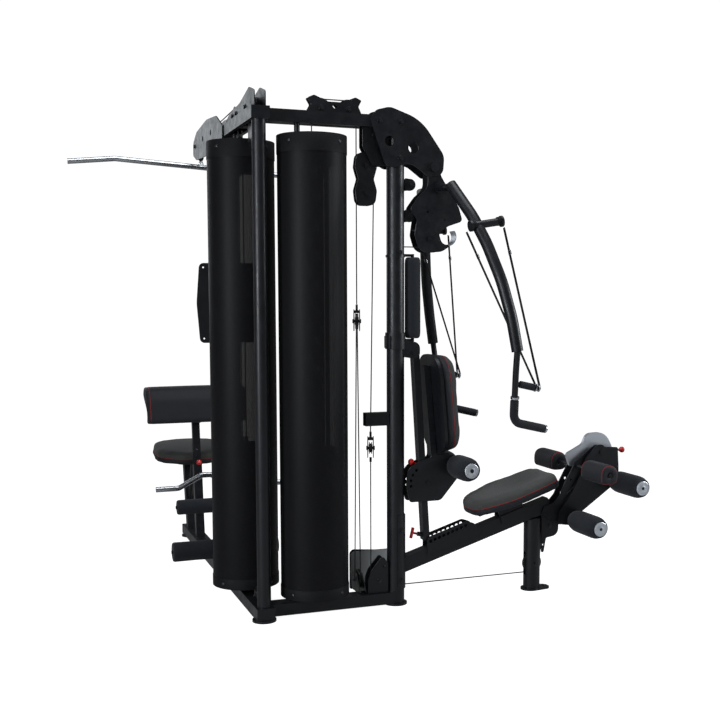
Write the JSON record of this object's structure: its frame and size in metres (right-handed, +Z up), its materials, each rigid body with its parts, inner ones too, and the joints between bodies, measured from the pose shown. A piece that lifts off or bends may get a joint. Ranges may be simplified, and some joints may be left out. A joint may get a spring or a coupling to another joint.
{
  "type": "multi station home gym",
  "caption": "L-shaped home gym with perforated weight stack guards, press and fly arms, sliding bench with leg swing, and a lat and curl station.",
  "frame": {"origin": "on the floor at the centre of the corner post's foot", "axes": "+X along the arm that carries the press and leg stations, +Y along the arm that carries the lat station, +Z up"},
  "size_m": [2.4033, 2.3514, 2.1748],
  "materials": {
    "frame_paint": "satin",
    "bolt_steel": "zinc plated",
    "chrome": "polished",
    "rod_steel": "ground",
    "iron": "painted",
    "cable": "coated steel rope",
    "wheel_plastic": "moulded",
    "mesh_guard": "perforated sheet",
    "foam": "closed cell foam",
    "upholstery": "woven cover over foam",
    "red_plastic": "moulded",
    "silver_plate": "brushed",
    "strap": "webbing",
    "placard": "sheet"
  },
  "bodies": {
    "frame": {"base_frame": "frame_paint", "top_frame": "frame_paint", "corner_post": "frame_paint", "press_post": "frame_paint", "bench_leg": "frame_paint", "lat_post": "frame_paint", "gusset_plates": "frame_paint", "pulley_brackets": "frame_paint", "lat_boom": "frame_paint", "frame_bolts": "bolt_steel", "shroud_a": "mesh_guard", "shroud_b": "mesh_guard", "stack_end_plates": "frame_paint", "guide_rods": "rod_steel", "weight_plates": "iron", "stack_cable_a": "cable", "block_cable": "cable", "leg_cable": "cable", "row_cable": "cable", "press_cable": "cable", "lat_cable": "cable", "curl_cable": "cable", "guide_wheels": "wheel_plastic", "swivel_blocks": "frame_paint", "foam_rolls": "foam", "bench_frame": "frame_paint", "knee_pads": "upholstery", "lat_seat_frame": "frame_paint", "lat_seat_pad": "upholstery", "placard": "placard"},
    "press": {"press_plates": "frame_paint", "press_arms": "frame_paint", "press_grips": "foam", "fly_straps": "strap"},
    "press_sheave": {"press_wheel": "wheel_plastic"},
    "stack_a": {"stack_head_a": "iron"},
    "pin_a": {"selector_pin_a": "red_plastic"},
    "stack_b": {"stack_head_b": "iron"},
    "pin_b": {"selector_pin_b": "red_plastic"},
    "double_block": {"floating_block": "frame_paint"},
    "block_sheave_upper": {"block_wheel_upper": "wheel_plastic"},
    "block_sheave_lower": {"block_wheel_lower": "wheel_plastic"},
    "back_swing": {"back_frame": "frame_paint"},
    "rack_plunger": {"rack_pin": "red_plastic"},
    "back_plunger": {"back_pin": "red_plastic"},
    "backrest": {"backrest_frame": "frame_paint", "backrest_pad": "upholstery"},
    "back_rolls": {"back_roller": "foam"},
    "seat": {"seat_carriage": "frame_paint", "seat_pad": "upholstery"},
    "leg_swing_arm": {"leg_arm": "frame_paint", "leg_cam": "silver_plate"},
    "leg_plunger": {"leg_pin": "red_plastic"},
    "leg_rolls_upper": {"leg_roller_upper": "foam"},
    "leg_rolls_lower": {"leg_roller_lower": "foam"},
    "hold_down": {"hold_down_post": "frame_paint", "preacher_pad": "upholstery"},
    "hold_plunger": {"hold_down_knob": "red_plastic"},
    "lat_handle": {"lat_bar": "chrome"},
    "curl_handle": {"curl_bar": "chrome"}
  },
  "joints": [
    {"name": "press_swing", "type": "hinge", "parent": "frame", "child": "press", "pos_m": [0.761, 0.05, 1.885], "axis": [0, -1, 0], "range_deg": [0, 40], "deforming": ["press_cable"]},
    {"name": "press_wheel_spin", "type": "hinge", "parent": "press", "child": "press_sheave", "pos_m": [0.742, 0.05, 1.585], "axis": [0, 1, 0], "continuous": true},
    {"name": "stack_a_lift", "type": "slide", "parent": "frame", "child": "stack_a", "axis": [0, 0, 1], "range_m": [0, 0.7], "deforming": ["stack_cable_a"]},
    {"name": "selector_pin_a_pull", "type": "slide", "parent": "stack_a", "child": "pin_a", "axis": [0, 1, 0], "range_m": [0, 0.03]},
    {"name": "stack_b_lift", "type": "slide", "parent": "frame", "child": "stack_b", "axis": [0, 0, 1], "range_m": [0, 0.8], "deforming": ["curl_cable"]},
    {"name": "selector_pin_b_pull", "type": "slide", "parent": "stack_b", "child": "pin_b", "axis": [0, 1, 0], "range_m": [0, 0.03]},
    {"name": "block_drop", "type": "slide", "parent": "frame", "child": "double_block", "axis": [0, 0, -1], "range_m": [0, 0.35], "deforming": ["block_cable"]},
    {"name": "block_wheel_upper_spin", "type": "hinge", "parent": "double_block", "child": "block_sheave_upper", "pos_m": [0.463, 0.05, 1.885], "axis": [0, 1, 0], "continuous": true},
    {"name": "block_wheel_lower_spin", "type": "hinge", "parent": "double_block", "child": "block_sheave_lower", "pos_m": [0.463, 0.05, 1.77], "axis": [0, 1, 0], "continuous": true},
    {"name": "lat_bar_pull", "type": "slide", "parent": "frame", "child": "lat_handle", "axis": [0, 0, -1], "range_m": [0, 0.8], "deforming": ["lat_cable"]},
    {"name": "curl_bar_lift", "type": "slide", "parent": "frame", "child": "curl_handle", "axis": [0, 0, 1], "range_m": [0, 0.6]},
    {"name": "back_frame_tilt", "type": "hinge", "parent": "frame", "child": "back_swing", "pos_m": [0.672, 0.05, 1.1], "axis": [0, -1, 0], "range_deg": [0, 12]},
    {"name": "rack_pin_pull", "type": "slide", "parent": "back_swing", "child": "rack_plunger", "axis": [-0.9707, 0, 0.2402], "range_m": [0, 0.012], "stiffness_N_per_m": 500},
    {"name": "back_pin_pull", "type": "slide", "parent": "back_swing", "child": "back_plunger", "axis": [-0.9061, 0, 0.423], "range_m": [0, 0.01], "stiffness_N_per_m": 500},
    {"name": "backrest_recline", "type": "hinge", "parent": "back_swing", "child": "backrest", "pos_m": [0.74, 0.05, 0.528], "axis": [0, 1, 0], "range_deg": [0, 19]},
    {"name": "back_roller_spin", "type": "hinge", "parent": "backrest", "child": "back_rolls", "pos_m": [0.868, 0.05, 0.6], "axis": [0, 1, 0], "continuous": true},
    {"name": "seat_slide", "type": "slide", "parent": "frame", "child": "seat", "axis": [0.9558, 0, 0.294], "range_m": [-0.06, 0.015]},
    {"name": "leg_swing", "type": "hinge", "parent": "frame", "child": "leg_swing_arm", "pos_m": [1.598, 0.05, 0.625], "axis": [0, -1, 0], "range_deg": [0, 75], "stiffness_Nm_per_rad": 14, "springref_deg": -34.38, "deforming": ["leg_cable"]},
    {"name": "leg_pin_pull", "type": "slide", "parent": "leg_swing_arm", "child": "leg_plunger", "axis": [1, 0, 0], "range_m": [0, 0.012], "stiffness_N_per_m": 500},
    {"name": "leg_roller_upper_spin", "type": "hinge", "parent": "leg_swing_arm", "child": "leg_rolls_upper", "pos_m": [1.673, 0.05, 0.486], "axis": [0, 1, 0], "continuous": true},
    {"name": "leg_roller_lower_spin", "type": "hinge", "parent": "leg_swing_arm", "child": "leg_rolls_lower", "pos_m": [1.46, 0.05, 0.317], "axis": [0, 1, 0], "continuous": true},
    {"name": "hold_down_height", "type": "slide", "parent": "frame", "child": "hold_down", "axis": [0, 0.1392, 0.9903], "range_m": [-0.072, 0.108]},
    {"name": "hold_down_knob_pull", "type": "slide", "parent": "frame", "child": "hold_plunger", "axis": [0, -0.9903, 0.1392], "range_m": [0, 0.012], "stiffness_N_per_m": 500}
  ],
  "couplings": [
    {"joint": "block_drop", "follows": "stack_a_lift", "ratio": 0.5},
    {"joint": "block_wheel_upper_spin", "follows": "stack_a_lift", "rad_per_m": -13.158},
    {"joint": "block_wheel_lower_spin", "follows": "stack_a_lift", "rad_per_m": 13.158},
    {"joint": "lat_bar_pull", "follows": "stack_b_lift", "ratio": 1}
  ]
}
